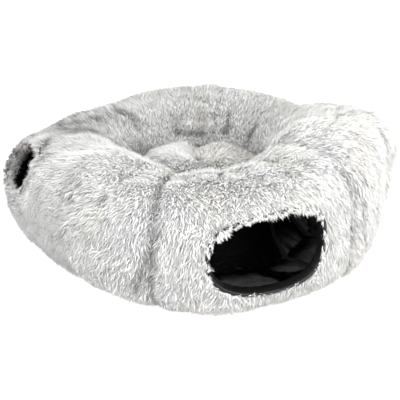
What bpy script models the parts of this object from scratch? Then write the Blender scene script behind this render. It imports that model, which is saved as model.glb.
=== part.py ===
# Donut cat tunnel: a ring-shaped plush tunnel with four entrances, round a nest cushion.
# Units are metres and +Z is up. The origin is the middle of the underside, on the floor.
# An azimuth runs round the ring, from the front entrance at -Y towards +X. A tube angle
# runs round the tube, from its outermost line at 0 over the crown at 90 to the well at 180.

import math

import bmesh
import bpy
from mathutils import Vector

# Ring
WELL_RADIUS = 0.148
TUBE_WIDTH = 0.240
CROWN_HEIGHT = 0.244
WAIST_HEIGHT = 0.132  # level of the tube's widest line
UNDERSIDE_SAG = 0.013  # the part of the round underside that the floor presses flat
TUBE_SQUARENESS = 2.25  # 2 gives an ellipse, more gives a squarer section
FULL_SIDE_SQUARENESS = 3.0  # on the side where the ring is least slumped
FULL_SIDE = math.radians(48)  # azimuth of that side
FULL_SIDE_SPREAD = 0.5

# Slump of the soft ring: waves round it, the height of a wave and the azimuth of a peak
WIDTH_WAVES = ((1, 0.004, 80), (3, 0.006, -13), (4, 0.008, -16))
CROWN_WAVES = ((1, 0.015, 54), (2, 0.006, 70), (3, 0.015, 51))
WAIST_WAVES = ((2, 0.009, 90),)

# Cloth
COVER_THICKNESS = 0.012  # knitted backing and pile
WADDING_THICKNESS = 0.008
LINING_THICKNESS = 0.001
BASE_THICKNESS = 0.002
LAYER_GAP = 0.0004
FIT_GAP = 0.0003

# Panels
ENTRANCE_PANEL_SPAN = math.radians(60)
SEAM_GAP = 0.0005
SEAM_DRAW = 0.014  # how far a seam pulls the tube in
FOOT_DRAW = 0.004
FOOT_TAPER = 1.2  # width of a layer along the floor for each unit of its thickness
LOW_ANGLE = math.radians(-44)  # lowest wall point above the foot
WALL_STEPS = 12
ENTRANCE_STEPS = 6
PLAIN_STEPS = 3

# Entrances
OPENING_WIDTH = 0.222
OPENING_DROP = 0.054  # from the crown's level to the top of an entrance
OPENING_SILL = 0.060
OPENING_SQUARENESS = 2.4
MOUTH_FLARE = 0.010  # how far the hoop holds the cloth out round an entrance
MOUTH_REACH = 0.165  # how far from the middle of an entrance that is felt
OPENING_STEPS = 20
BINDING_WIDTH = 0.007
BINDING_WALL = 0.0012
BINDING_DEPTH_IN_PILE = 0.004
BINDING_LAP = 0.0008  # how far the binding stands past the lining
BINDING_GAP = 0.0007  # from the binding to the cut edges of the cloth
BINDING_HOOP_GAP = 0.0012  # from the binding's fold to its hoop, whose straight stretches cut corners
CUTTER_OUTSIDE = 0.060
CUTTER_INSIDE = 0.045

# Hoops
HOOP_WIRE = 0.003
FERRULE_WALL = 0.0006
FERRULE_LENGTH = 0.014
FERRULE_PLACE = 1 / 3  # share of the way round the hoop, which is near its top
CASING_WALL = 0.0008
CASING_GAP = 0.0008  # between the casing and the lining, whose panels slope away at a seam

# Nest cushion
CUSHION_CLEARANCE = 0.004
CUSHION_CROWN = 0.188
CUSHION_WAIST = 0.098
CUSHION_SQUARENESS = 2.9
CUSHION_PRESS = 0.010  # the part of its round underside that is pressed flat
CUSHION_BASE_THICKNESS = 0.0015
FOLD_DEPTH = 0.018
FOLD_WIDTH = 0.030
FOLD_AZIMUTH = math.radians(-18)
CUSHION_SEGMENTS = 24
CUSHION_STEPS = 8

# Side tab, a folded woven ribbon under the binding of the left entrance
TAB_WIDTH = 0.011
TAB_LENGTH = 0.016
TAB_LEAF = 0.0008
TAB_GAP = 0.0009  # at the middle of the tab, under the curved binding
TAB_TURN = math.radians(125)
TAB_DROOP = 0.35  # 0 keeps it in line with the cloth, 1 hangs it plumb
TAB_CHORD = math.radians(5)  # half the stretch of binding that the tab lies along

# Panel azimuth of each entrance, its turn from the middle of the panel, and how far the tube
# has rolled there and carried it up, in degrees
ENTRANCES = (("front", 0, 0, 0), ("right", 90, 0, 0), ("back", 180, 0, 0), ("left", 270, -4, 32))
CORNERS = (("front_right", 45), ("back_right", 135), ("back_left", 225), ("front_left", 315))
SMOOTH_ANGLE = math.radians(40)
RUN_PROBE = math.radians(3)  # half the tube angle over which the wall's run is measured
MERGE_DISTANCE = 0.00001

for leftover in list(bpy.data.objects):
    bpy.data.objects.remove(leftover, do_unlink=True)

parts = bpy.data.collections.new("donut_cat_tunnel")
cutters = bpy.data.collections.new("cutters")
bpy.context.scene.collection.children.link(parts)
bpy.context.scene.collection.children.link(cutters)


def make_material(name, colour, roughness, metallic=0.0):
    material = bpy.data.materials.new(name)
    material.use_nodes = True
    shader = material.node_tree.nodes["Principled BSDF"]
    shader.inputs["Base Color"].default_value = (*colour, 1)
    shader.inputs["Roughness"].default_value = roughness
    shader.inputs["Metallic"].default_value = metallic
    material.diffuse_color = (*colour, 1)
    return material


def signed_power(value, exponent):
    return math.copysign(abs(value) ** exponent, value)


def wave_sum(waves, azimuth):
    return sum(height * math.cos(count * (azimuth - math.radians(peak)))
               for count, height, peak in waves)


# The tube

OPENING_TOP = CROWN_HEIGHT - OPENING_DROP


def half_width(azimuth):
    return (TUBE_WIDTH + wave_sum(WIDTH_WAVES, azimuth)) / 2


def waist_height(azimuth):
    return WAIST_HEIGHT + wave_sum(WAIST_WAVES, azimuth)


def squareness(azimuth):
    """Squareness of the section, which changes smoothly round the ring."""
    swing = (azimuth - FULL_SIDE + math.pi) % (2 * math.pi) - math.pi
    share = math.exp(-(swing / FULL_SIDE_SPREAD) ** 2)
    return TUBE_SQUARENESS + (FULL_SIDE_SQUARENESS - TUBE_SQUARENESS) * share


def crown_rise(azimuth):
    return CROWN_HEIGHT + wave_sum(CROWN_WAVES, azimuth) - waist_height(azimuth)


def mouth_flare(azimuth, height):
    """How far the wall is held out here by the hoops of the entrances."""
    flare = 0
    for name, panel, turn, roll in ENTRANCES:
        swing = (azimuth - math.radians(panel + turn) + math.pi) % (2 * math.pi) - math.pi
        across = swing * (WELL_RADIUS + TUBE_WIDTH)
        carried = (CROWN_HEIGHT - WAIST_HEIGHT) * math.sin(math.radians(roll))
        up = height - (OPENING_TOP + OPENING_SILL) / 2 - carried
        flare += MOUTH_FLARE * max(0, 1 - (math.hypot(across, up) / MOUTH_REACH) ** 4)
    return flare


def panel_spans():
    """Start and end azimuth of each panel, entrance panels first."""
    half_entrance = ENTRANCE_PANEL_SPAN / 2
    half_plain = math.pi / 4 - half_entrance
    half_gap = SEAM_GAP / 2 / WELL_RADIUS
    spans = {}
    for places, half_span in ((ENTRANCES, half_entrance), (CORNERS, half_plain)):
        for name, centre, *rest in places:
            middle = math.radians(centre)
            spans[name] = (middle - half_span + half_gap, middle + half_span - half_gap)
    return spans


SPANS = panel_spans()


def seam_pull(azimuth):
    """Share of the seams' pull that is felt here: 1 on a seam, 0 in the middle of a panel."""
    for start, end in SPANS.values():
        share = ((azimuth - start + math.pi) % (2 * math.pi) - math.pi) / (end - start)
        if 0 < share < 1:
            return 1 - math.sqrt(4 * share * (1 - share))
    return 1.0


def ring_point(azimuth, radius, height):
    return Vector((radius * math.sin(azimuth), -radius * math.cos(azimuth), height))


def tube_point(azimuth, angle, inset):
    """A point of the tube's wall, inset from the top of the pile."""
    width = half_width(azimuth)
    waist = waist_height(azimuth)
    rise = crown_rise(azimuth) if math.sin(angle) > 0 else waist + UNDERSIDE_SAG
    power = squareness(azimuth)
    across = signed_power(math.cos(angle), 2 / power)
    up = signed_power(math.sin(angle), 2 / power)
    normal = Vector((signed_power(across, power - 1) / width,
                     signed_power(up, power - 1) / rise)).normalized()
    depth = inset + SEAM_DRAW * seam_pull(azimuth)
    if across > 0:
        depth -= mouth_flare(azimuth, waist + up * rise) * across
    out = across * width - normal.x * depth
    height = waist + up * rise - normal.y * depth
    return ring_point(azimuth, WELL_RADIUS + width + out, height)


def foot_point(azimuth, side, inset, level):
    """Where a layer meets the floor, on the outer side (1) or the well side (-1)."""
    width = half_width(azimuth)
    drop = waist_height(azimuth) / (waist_height(azimuth) + UNDERSIDE_SAG)
    reach = width * (1 - drop ** squareness(azimuth)) ** (1 / squareness(azimuth))
    reach -= FOOT_TAPER * inset + FOOT_DRAW * seam_pull(azimuth)
    return ring_point(azimuth, WELL_RADIUS + width + side * reach, level)


def tube_section(azimuth, inset, level, closed):
    """One layer's line round the tube, from the outer foot over the crown to the inner foot."""
    step = (math.pi - 2 * LOW_ANGLE) / WALL_STEPS
    points = [foot_point(azimuth, 1, inset, level)]
    points += [tube_point(azimuth, LOW_ANGLE + index * step, inset)
               for index in range(WALL_STEPS + 1)]
    points.append(foot_point(azimuth, -1, inset, level))
    if closed:
        points.append((points[0] + points[-1]) / 2)
    return points


# The entrances

def angle_at_level(azimuth, level):
    """Tube angle on the outer side where the wall passes a level."""
    rise = level - waist_height(azimuth)
    full = crown_rise(azimuth) if rise > 0 else waist_height(azimuth) + UNDERSIDE_SAG
    return math.asin(signed_power(rise / full, squareness(azimuth) / 2))


def opening_point(mouth, turn, out, inset):
    """A point round an entrance, out from its clear edge along the cloth."""
    azimuth, roll = mouth
    reach = WELL_RADIUS + 2 * half_width(azimuth) + MOUTH_FLARE
    top = angle_at_level(azimuth, OPENING_TOP) + roll
    sill = angle_at_level(azimuth, OPENING_SILL) + roll
    half_swing = OPENING_WIDTH / 2 / reach
    half_tilt = (top - sill) / 2
    across = signed_power(math.cos(turn), 2 / OPENING_SQUARENESS)
    up = signed_power(math.sin(turn), 2 / OPENING_SQUARENESS)
    angle = (top + sill) / 2 + half_tilt * up
    run = tube_point(azimuth, angle + RUN_PROBE, 0) - tube_point(azimuth, angle - RUN_PROBE, 0)
    rate = run.length / (2 * RUN_PROBE)
    normal = Vector((signed_power(across, OPENING_SQUARENESS - 1) / (OPENING_WIDTH / 2),
                     signed_power(up, OPENING_SQUARENESS - 1) / (half_tilt * rate))).normalized()
    return tube_point(azimuth + half_swing * across + out * normal.x / reach,
                      angle + out * normal.y / rate, inset)


def opening_loop(mouth, out, inset):
    return [opening_point(mouth, 2 * math.pi * index / OPENING_STEPS, out, inset)
            for index in range(OPENING_STEPS)]


# Mesh tools

def join_rows(bm, row, following, wrap):
    """Triangles between two rows, split the same way in every layer so that they nest."""
    count = len(row) if wrap else len(row) - 1
    for index in range(count):
        after = (index + 1) % len(row)
        bm.faces.new((row[index], row[after], following[after]))
        bm.faces.new((row[index], following[after], following[index]))


def loft(bm, rings, wrap_section, wrap_rings):
    """Skin over sections. No two sections of the slumped ring are alike."""
    rows = [[bm.verts.new(point) for point in ring] for ring in rings]
    following = rows[1:] + (rows[:1] if wrap_rings else [])
    for row, after in zip(rows, following):
        join_rows(bm, row, after, wrap_section)
    return rows


def shell(outer_rings, inner_rings, wrap):
    """A wall between an outer and an inner skin, closed along all its edges."""
    bm = bmesh.new()
    outer = loft(bm, outer_rings, wrap, False)
    inner = loft(bm, inner_rings, wrap, False)
    join_rows(bm, outer[0], inner[0], wrap)
    join_rows(bm, outer[-1], inner[-1], wrap)
    if not wrap:
        for edge in (0, -1):
            join_rows(bm, [row[edge] for row in outer], [row[edge] for row in inner], False)
    return bm


def add_part(name, bm, material, collection=parts):
    bmesh.ops.recalc_face_normals(bm, faces=bm.faces)
    mesh = bpy.data.meshes.new(name)
    bm.to_mesh(mesh)
    bm.free()
    mesh.shade_smooth()
    mesh.set_sharp_from_angle(angle=SMOOTH_ANGLE)
    part = bpy.data.objects.new(name, mesh)
    collection.objects.link(part)
    if material:
        mesh.materials.append(material)
    return part


def add_hoop(name, points, material):
    """Closed hoop of wire. A crimped ferrule joins its ends in a straight stretch near the top."""
    joint = int(len(points) * FERRULE_PLACE)
    start, end = points[joint], points[joint + 1]
    middle = (start + end) / 2
    half = (end - start).normalized() * FERRULE_LENGTH / 2
    shoulder = half.normalized() * FERRULE_WALL
    swell = FERRULE_DIAMETER / HOOP_WIRE
    knots = [(point, 1) for point in points[:joint + 1]]
    knots += [(middle - half - shoulder, 1), (middle - half, swell)]
    knots += [(middle + half, swell), (middle + half + shoulder, 1)]
    knots += [(point, 1) for point in points[joint + 1:]]
    curve = bpy.data.curves.new(name, "CURVE")
    curve.dimensions = "3D"
    curve.bevel_depth = HOOP_WIRE / 2
    curve.bevel_resolution = 2
    spline = curve.splines.new("POLY")
    spline.points.add(len(knots) - 1)
    for knot, (point, radius) in zip(spline.points, knots):
        knot.co = (*point, 1)
        knot.radius = radius
    spline.use_cyclic_u = True
    curve.materials.append(material)
    hoop = bpy.data.objects.new(name, curve)
    parts.objects.link(hoop)


def add_disc(name, outline, level, thickness, material):
    curve = bpy.data.curves.new(name, "CURVE")
    curve.dimensions = "2D"
    curve.fill_mode = "BOTH"
    curve.extrude = thickness / 2
    spline = curve.splines.new("POLY")
    spline.points.add(len(outline) - 1)
    for knot, point in zip(spline.points, outline):
        knot.co = (point.x, point.y, 0, 1)
    spline.use_cyclic_u = True
    curve.materials.append(material)
    disc = bpy.data.objects.new(name, curve)
    disc.location.z = level + thickness / 2
    parts.objects.link(disc)
    return disc


# Insets of the layers from the top of the pile, and the levels that they stand on

COVER_INNER = COVER_THICKNESS
WADDING_OUTER = COVER_INNER + LAYER_GAP
WADDING_INNER = WADDING_OUTER + WADDING_THICKNESS
LINING_OUTER = WADDING_INNER + LAYER_GAP
LINING_INNER = LINING_OUTER + LINING_THICKNESS
COVER_FOOT = BASE_THICKNESS + FIT_GAP
WADDING_TOP = COVER_FOOT + WADDING_THICKNESS
LINING_FOOT = WADDING_TOP + LAYER_GAP
LINING_TOP = LINING_FOOT + LINING_THICKNESS
FERRULE_DIAMETER = HOOP_WIRE + 2 * FERRULE_WALL

plush = make_material("silver plush", (0.80, 0.80, 0.79), 0.95)
wadding = make_material("polyester wadding", (0.88, 0.88, 0.86), 1.0)
taffeta = make_material("black polyester taffeta", (0.012, 0.012, 0.014), 0.35)
tape = make_material("black woven tape", (0.015, 0.015, 0.016), 0.7)
satin = make_material("black satin binding", (0.014, 0.014, 0.015), 0.3)
spring_steel = make_material("spring steel", (0.42, 0.42, 0.43), 0.3, 1.0)
felt = make_material("grey nonwoven felt", (0.16, 0.16, 0.17), 0.95)
filling = make_material("hollow fibre filling", (0.90, 0.90, 0.89), 1.0)
ribbon = make_material("terracotta ribbon", (0.58, 0.19, 0.09), 0.75)


def panel_azimuths(name, steps):
    """Azimuths across a panel, closer together near its seams."""
    start, end = SPANS[name]
    return [start + (end - start) * (1 - math.cos(math.pi * index / steps)) / 2
            for index in range(steps + 1)]


def add_layers(name, azimuths):
    """Cover, wadding and lining of one panel."""
    layers = (("cover_panel", plush, (0, COVER_FOOT), (COVER_INNER, COVER_FOOT), False),
              ("wadding_panel", wadding, (WADDING_OUTER, COVER_FOOT),
               (WADDING_INNER, WADDING_TOP), True),
              ("lining_panel", taffeta, (LINING_OUTER, LINING_FOOT),
               (LINING_INNER, LINING_TOP), True))
    made = []
    for layer, material, outer, inner, closed in layers:
        outer_rings = [tube_section(azimuth, *outer, closed) for azimuth in azimuths]
        inner_rings = [tube_section(azimuth, *inner, closed) for azimuth in azimuths]
        bm = shell(outer_rings, inner_rings, closed)
        made.append(add_part(layer + "_" + name, bm, material))
    return made


def cut_opening(name, mouth, layers):
    """Cut the entrance through the layers, clear of the binding that lines it."""
    edge = BINDING_WIDTH + BINDING_GAP
    bm = bmesh.new()
    depths = (-CUTTER_OUTSIDE, BINDING_DEPTH_IN_PILE, LINING_INNER + BINDING_LAP, CUTTER_INSIDE)
    rows = loft(bm, [opening_loop(mouth, edge, depth) for depth in depths], True, False)
    for row in (rows[0], rows[-1]):
        bm.faces.new(row)
    cutter = add_part("opening_cutter_" + name, bm, None, cutters)
    cutter.hide_render = True
    cutter.display_type = "WIRE"
    for layer in layers:
        cut = layer.modifiers.new("opening", "BOOLEAN")
        cut.operation = "DIFFERENCE"
        cut.solver = "EXACT"
        cut.object = cutter


def add_binding(name, mouth):
    """Folded tape round an entrance, open towards the cloth, with its hoop inside."""
    top = BINDING_DEPTH_IN_PILE
    bottom = LINING_INNER + BINDING_LAP
    section = ((0, top), (BINDING_WIDTH, top), (BINDING_WIDTH, top + BINDING_WALL),
               (BINDING_WALL, top + BINDING_WALL), (BINDING_WALL, bottom - BINDING_WALL),
               (BINDING_WIDTH, bottom - BINDING_WALL), (BINDING_WIDTH, bottom), (0, bottom))
    loops = [opening_loop(mouth, out, inset) for out, inset in section]
    bm = bmesh.new()
    loft(bm, loops, True, True)
    add_part("opening_binding_" + name, bm, satin)
    seat = BINDING_WALL + BINDING_HOOP_GAP + FERRULE_DIAMETER / 2
    add_hoop("opening_hoop_" + name, opening_loop(mouth, seat, (top + bottom) / 2), spring_steel)


def add_seam_hoop(number, azimuth):
    """Hoop round the tube at a seam, in a folded tape casing that opens to the lining."""
    along = Vector((math.cos(azimuth), math.sin(azimuth), 0))
    half_inside = FERRULE_DIAMETER / 2 + FIT_GAP
    half_outside = half_inside + CASING_WALL
    floor = FERRULE_DIAMETER / 2 + half_inside
    section = ((-half_outside, 0), (-half_inside, 0), (-half_inside, floor), (half_inside, floor),
               (half_inside, 0), (half_outside, 0), (half_outside, floor + CASING_WALL),
               (-half_outside, floor + CASING_WALL))
    loops = []
    for shift, depth in section:
        inset = CASING_GAP + depth
        line = tube_section(azimuth, LINING_INNER + inset, LINING_TOP + inset, True)
        loops.append([point + shift * along for point in line])
    bm = bmesh.new()
    loft(bm, loops, True, True)
    add_part("hoop_casing_" + str(number), bm, tape)
    depth = CASING_GAP + FERRULE_DIAMETER / 2
    hoop = tube_section(azimuth, LINING_INNER + depth, LINING_TOP + depth, True)
    add_hoop("seam_hoop_" + str(number), hoop, spring_steel)


def add_side_tab(mouth):
    """Folded ribbon that hangs from the binding, its two leaves joined by the fold below."""
    depth = BINDING_DEPTH_IN_PILE
    edge = opening_point(mouth, TAB_TURN, -TAB_GAP, depth)
    low = opening_point(mouth, TAB_TURN, -TAB_LENGTH, depth)
    ends = [opening_point(mouth, TAB_TURN + side * TAB_CHORD, 0, depth) for side in (-1, 1)]
    down = (low - edge).normalized().lerp(Vector((0, 0, -1)), TAB_DROOP).normalized()
    along = (ends[1] - ends[0]).normalized()
    across = along.cross(down).normalized()
    thickness = 2 * TAB_LEAF + LAYER_GAP
    profile = ((0, 0), (0, TAB_LENGTH), (thickness, TAB_LENGTH), (thickness, 0),
               (thickness - TAB_LEAF, 0), (thickness - TAB_LEAF, TAB_LENGTH - TAB_LEAF),
               (TAB_LEAF, TAB_LENGTH - TAB_LEAF), (TAB_LEAF, 0))
    bm = bmesh.new()
    outline = [edge + across * (out - thickness / 2) + down * drop for out, drop in profile]
    face = bm.faces.new([bm.verts.new(point - along * TAB_WIDTH / 2) for point in outline])
    moved = bmesh.ops.extrude_face_region(bm, geom=[face])["geom"]
    bmesh.ops.translate(bm, vec=along * TAB_WIDTH,
                        verts=[item for item in moved if isinstance(item, bmesh.types.BMVert)])
    add_part("side_tab", bm, ribbon)


# The nest cushion

def cushion_section(azimuth, inset, level, steps):
    """A line over the cushion from its crown to its foot."""
    radius = WELL_RADIUS - CUSHION_CLEARANCE - inset
    low = math.asin((1 - CUSHION_PRESS / CUSHION_WAIST) ** (CUSHION_SQUARENESS / 2))
    points = []
    for index in range(steps + 1):
        angle = math.pi / 2 - (math.pi / 2 + low) * index / steps
        across = signed_power(math.cos(angle), 2 / CUSHION_SQUARENESS) * radius
        up = signed_power(math.sin(angle), 2 / CUSHION_SQUARENESS)
        place = ring_point(azimuth, across, 0)
        from_fold = place.x * math.cos(FOLD_AZIMUTH) + place.y * math.sin(FOLD_AZIMUTH)
        fold = FOLD_DEPTH * math.exp(-(from_fold / FOLD_WIDTH) ** 2) * max(up, 0)
        rise = CUSHION_CROWN - CUSHION_WAIST - inset if up > 0 else CUSHION_WAIST - inset
        place.z = max(CUSHION_WAIST + up * rise - fold, level)
        points.append(place)
    points[-1].z = level
    return points


def cushion_rings(inset, level):
    return [cushion_section(2 * math.pi * index / CUSHION_SEGMENTS, inset, level, CUSHION_STEPS)
            for index in range(CUSHION_SEGMENTS)]


def add_cushion():
    lift = bpy.data.objects.new("cushion_lift", None)
    parts.objects.link(lift)
    base_level = BASE_THICKNESS + FIT_GAP
    foot = base_level + CUSHION_BASE_THICKNESS + FIT_GAP

    bm = bmesh.new()
    outer = loft(bm, cushion_rings(0, foot), False, True)
    inner = loft(bm, cushion_rings(COVER_THICKNESS, foot), False, True)
    join_rows(bm, [row[-1] for row in outer], [row[-1] for row in inner], True)
    bmesh.ops.remove_doubles(bm, verts=bm.verts, dist=MERGE_DISTANCE)
    cover = add_part("cushion_cover", bm, plush)

    bm = bmesh.new()
    rings = cushion_rings(COVER_THICKNESS + LAYER_GAP, foot)
    rows = loft(bm, rings, False, True)
    bm.faces.new([row[-1] for row in rows])
    bmesh.ops.remove_doubles(bm, verts=bm.verts, dist=MERGE_DISTANCE)
    fill = add_part("cushion_fill", bm, filling)

    outline = [ring[-1] for ring in cushion_rings(0, foot)]
    base = add_disc("cushion_base", outline, base_level, CUSHION_BASE_THICKNESS, felt)
    for piece in (cover, fill, base):
        piece.parent = lift


def build():
    azimuths = []
    for name, panel, turn, roll in ENTRANCES:
        mouth = math.radians(panel + turn), math.radians(roll)
        across = panel_azimuths(name, ENTRANCE_STEPS)
        azimuths += across
        cut_opening(name, mouth, add_layers(name, across))
        add_binding(name, mouth)
        if name == "left":
            add_side_tab(mouth)
    for name, centre in CORNERS:
        across = panel_azimuths(name, PLAIN_STEPS)
        azimuths += across
        add_layers(name, across)
    half_gap = SEAM_GAP / 2 / WELL_RADIUS
    seams = sorted(end + half_gap for start, end in SPANS.values())
    for number, azimuth in enumerate(seams, 1):
        add_seam_hoop(number, azimuth)
    outline = [foot_point(azimuth, 1, 0, 0) for azimuth in sorted(azimuths)]
    add_disc("base_fabric", outline, 0, BASE_THICKNESS, felt)
    add_cushion()


build()
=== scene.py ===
import math

import bmesh
import bpy
import numpy as np
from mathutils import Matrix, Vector, kdtree


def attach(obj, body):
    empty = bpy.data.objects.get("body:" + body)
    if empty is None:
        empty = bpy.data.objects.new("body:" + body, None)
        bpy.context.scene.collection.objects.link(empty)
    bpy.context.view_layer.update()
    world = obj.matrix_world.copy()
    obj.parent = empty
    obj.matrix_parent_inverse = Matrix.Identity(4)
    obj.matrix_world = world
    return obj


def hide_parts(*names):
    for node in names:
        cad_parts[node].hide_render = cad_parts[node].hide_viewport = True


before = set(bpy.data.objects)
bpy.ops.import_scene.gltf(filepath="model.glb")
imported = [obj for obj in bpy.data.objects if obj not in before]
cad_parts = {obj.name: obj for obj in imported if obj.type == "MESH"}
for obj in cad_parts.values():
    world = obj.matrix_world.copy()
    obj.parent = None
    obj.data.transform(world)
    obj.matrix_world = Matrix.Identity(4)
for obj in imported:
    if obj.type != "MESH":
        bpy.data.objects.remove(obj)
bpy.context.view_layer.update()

# Where things are round the ring, in degrees from the front entrance, anticlockwise from above
entrancePanels = {"front": 0, "right": 90, "back": 180, "left": 270}
plainPanels = {"front_right": 45, "back_right": 135, "back_left": 225, "front_left": 315}
# middle of each entrance, and how far the tube has rolled there
mouths = {"front": (0, 0), "right": (90, 0), "back": (180, 0), "left": (266, 32)}
quarter = math.pi / 2


# Small tools

def stageNote(words):
    print("scene:", words)


def hexToLinear(text):
    channels = [int(text[place:place + 2], 16) / 255 for place in (1, 3, 5)]
    return (*[c / 12.92 if c <= 0.04045 else ((c + 0.055) / 1.055) ** 2.4 for c in channels], 1)


def wire(node, *links):
    # each link is an input and what it takes: a value, a socket, or the first socket of a node
    for key, value in links:
        if isinstance(value, bpy.types.Node):
            value = value.outputs[0]
        if isinstance(value, bpy.types.NodeSocket):
            node.id_data.links.new(value, node.inputs[key])
        else:
            node.inputs[key].default_value = value


def addNode(tree, kind, links=(), **settings):
    node = tree.nodes.new("ShaderNode" + kind)
    for key, value in settings.items():
        setattr(node, key, value)
    wire(node, *links)
    return node


def newMaterial(name, **values):
    material = bpy.data.materials.new(name)
    material.use_nodes = True
    tree = material.node_tree
    shader = tree.nodes["Principled BSDF"]
    for key, value in values.items():
        shader.inputs[key.replace("_", " ")].default_value = value
    return material, tree, shader


def setStops(ramp, stops):
    while len(ramp.elements) < len(stops):
        ramp.elements.new(0.5)
    for element, (place, colour) in zip(ramp.elements, stops):
        element.position = place
        element.color = hexToLinear(colour)


def grainedMaterial(name, kind, grain, stops, relief=(), settings=None, **values):
    # a material whose colour, and relief where that is given, follow one fine pattern fixed to the piece
    material, tree, shader = newMaterial(name, **values)
    place = addNode(tree, "TexCoord").outputs["Object"]
    pattern = addNode(tree, kind, [("Vector", place), *grain], **(settings or {})).outputs["Fac"]
    ramp = addNode(tree, "ValToRGB", [("Fac", pattern)])
    setStops(ramp.color_ramp, stops)
    wire(shader, ("Base Color", ramp))
    if relief:
        raised = addNode(tree, "Bump", [("Height", pattern), *relief])
        wire(shader, ("Normal", raised))
    return material, tree, shader, pattern


def softNoise(points, size, seed):
    # smooth random field of about -1 to 1, with hills about half of size apart
    rng = np.random.default_rng(seed)
    total = 0
    for wave in range(8):
        direction = rng.normal(size=3)
        direction *= 2 * math.pi / size * rng.uniform(0.7, 1.5) / np.linalg.norm(direction)
        total = total + np.sin(points @ direction + rng.uniform(0, 2 * math.pi))
    return total / 2.8


def waved(points, *layers):
    # soft noises on top of each other, each given by its height, size and seed
    return sum(height * softNoise(points, size, seed) for height, size, seed in layers)


def bump(value, middle, half):
    # 1 at the middle, falling to 0 over about twice the half width
    return np.exp(-((value - middle) / half) ** 2)


def turnFrom(azimuth, centre):
    # azimuth from that of centre, which is in degrees, the short way round
    return (azimuth - math.radians(centre) + math.pi) % (2 * math.pi) - math.pi


# The ring's form, in metres, as the panels are cut and slumped. A wave has its count round the ring,
# its height and the azimuth of a peak

ring = {
    "wellRadius": 0.148, "tubeWidth": 0.240, "crown": 0.244, "waist": 0.132, "sag": 0.013,
    "squareness": 2.25, "fullSide": 48, "fullSquareness": 3.0, "fullSpread": 0.5, "foot": 0.0023,
    "widthWaves": ((1, 0.004, 80), (3, 0.006, -13), (4, 0.008, -16)),
    "crownWaves": ((1, 0.015, 54), (2, 0.006, 70), (3, 0.015, 51)),
    "waistWaves": ((2, 0.009, 90),),
    "halfEntrancePanel": math.radians(30), "seamDraw": 0.014, "footDraw": 0.004, "footTaper": 1.2,
}
# for distances on it: radius of the tube's middle, its half width, and metres of wall for each radian
tube = {"middle": 0.268, "half": 0.12, "radian": 0.118}
# share of each seam's pull that the plush bridges, and how much painted shade darkens the hair in the seam's
# groove
seams = {30: (0.4, 0.5), 60: (0.0, 1.0), 120: (0.7, 0.4), 150: (0.7, 0.5), 210: (0.5, 0.7), 240: (0.6, 0.4),
         300: (0.8, 0.2), 330: (0.3, 1.0)}
opening = {
    "width": 0.222, "top": 0.190, "sill": 0.060, "squareness": 2.4,
    "flare": 0.010, "flareReach": 0.165, "cut": 0.0077,
    "run": 0.112,  # metres of wall for each radian of tube angle, near an entrance
}
# Creases that the loose cover has fallen into: azimuth and tube angle in degrees from one end
# to the other, depth and half width in millimetres
creases = (
    (315, 50, 315, 30, 5, 5), (305, 49, 304, 43, 6, 6), (304, 31, 303, 25, 5, 6),
    (27, 55, 41, -30, 4, 6), (32, 82, 35, 72, 4, 4), (33, 67, 34, 54, 5, 4),
    (142, 128, 138, 165, 9, 8), (172, 112, 157, 122, 7, 7), (181, 136, 178, 160, 7, 8),
    (158, 135, 160, 165, 6, 8), (212, 98, 202, 142, 8, 8), (276, 66, 262, 92, 8, 9),
    (262, 92, 249, 118, 9, 11), (118, 140, 120, 165, 6, 8), (232, 140, 226, 165, 6, 8),
    (327, -10, 327, -24, 6, 7), (345, 84, 338, 66, 3, 5), (352, 118, 349, 88, 4, 7), (10, 120, 13, 92, 4, 7),
)
# Painted shade: dark tufts and streaks along creases and partings of the hair, places as above, half width in
# millimetres, darkness
shadeStreakLines = (
    (278, 58, 273, 84, 6, 1.0), (273, 84, 248, 106, 7, 1.0), (248, 106, 250, 119, 8, 1.0),
    (301, 50, 308, 46, 4, 0.7), (300, 27, 307, 24, 4, 0.7), (315, 50, 313, 36, 3, 0.6),
    (337, 60, 354, 51, 5, 0.4), (322, 57, 334, 66, 4, 0.35), (34, 87, 36, 78, 4, 0.6),
    (31, 67, 35, 57, 4, 0.6), (184, 160, 156, 164, 7, 0.7), (218, 158, 219, 170, 9, 0.8),
    (325, -17, 326, -32, 6, 1.0), (41, -4, 41, -22, 3, 0.4), (209, 99, 204, 118, 5, 0.7),
    (143, 130, 141, 160, 5, 0.6), (62, 98, 71, 74, 5, 0.8), (71, 74, 73, 48, 5, 0.9),
    (73, 48, 69, 18, 5, 0.8), (333, 42, 331, 8, 4, 0.7), (329, 4, 326, -16, 5, 0.8),
)
# Swells where the stuffing pushes the cover out: azimuth and tube angle in degrees, then height
# and half width in millimetres
swells = (
    (213, 87, 9, 60), (151, 97, 13, 80), (76, 58, 15, 75), (71, 24, 14, 60), (331, -42, 11, 60),
    (346, -42, 8, 50), (22, -36, 11, 60), (34, -38, 10, 50), (268, 30, 5, 60),
)
# The cover's own waves, and its upright folds on the wall of the well
drapes = {
    "waves": ((0.0040, 0.16, 3), (0.0022, 0.07, 4)),
    "still": 0.9,  # radians below the waist, where the cover lies still
    "foldHeight": 0.0035, "folds": 17, "foldDrift": 1.3, "foldFrom": 1.7,
}


def signedPower(value, exponent):
    return np.sign(value) * np.abs(value) ** exponent


def superPoint(angle, power):
    # a place on a circle of radius 1 that is squared off by its power: across and up
    return signedPower(np.cos(angle), 2 / power), signedPower(np.sin(angle), 2 / power)


def tubeReach(angle):
    return tube["middle"] + tube["half"] * np.cos(angle)


def waves(rows, azimuth):
    return sum(height * np.cos(count * (azimuth - math.radians(peak))) for count, height, peak in rows)


def panelSwing(azimuth):
    # azimuth from the middle of the nearest entrance panel
    return (azimuth + quarter / 2) % quarter - quarter / 2


def seamDistance(azimuth):
    return np.abs(np.abs(panelSwing(azimuth)) - ring["halfEntrancePanel"])


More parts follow.
